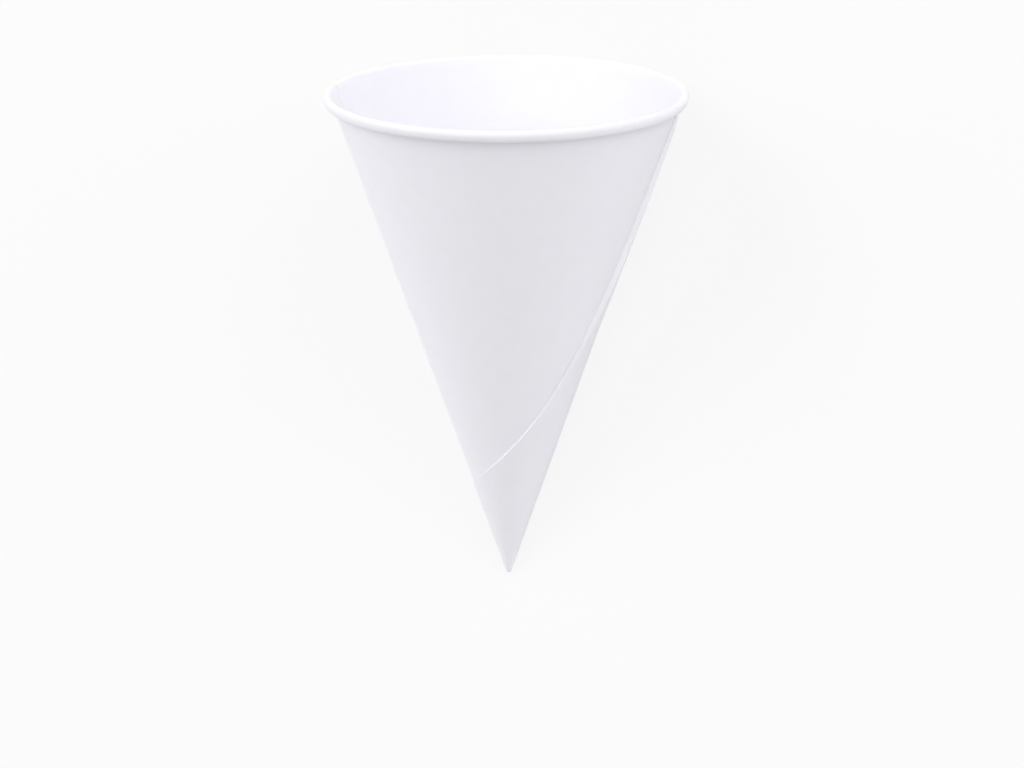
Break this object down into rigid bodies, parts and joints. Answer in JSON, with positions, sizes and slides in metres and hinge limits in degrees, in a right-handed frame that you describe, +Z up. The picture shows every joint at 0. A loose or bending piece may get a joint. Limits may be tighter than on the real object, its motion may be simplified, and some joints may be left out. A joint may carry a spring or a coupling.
{
  "type": "cone paper cup",
  "caption": "Conical white paper drinking cup, wound from a flat sheet with a slanting glued lap, a rolled bead round its mouth and a blunt point, lying on its side.",
  "frame": {"origin": "middle of the footprint, on the surface that the cup lies on", "axes": "+Z up; the cup lies on one side with its tip towards -Y and its open mouth towards +Y; +X to the right of someone looking along +Y"},
  "size_m": [0.07, 0.1004, 0.0657],
  "materials": {
    "paper": "matt white uncoated paper with a fine even grain"
  },
  "bodies": {
    "root": {"paper_cone_cup": "paper"}
  },
  "joints": []
}
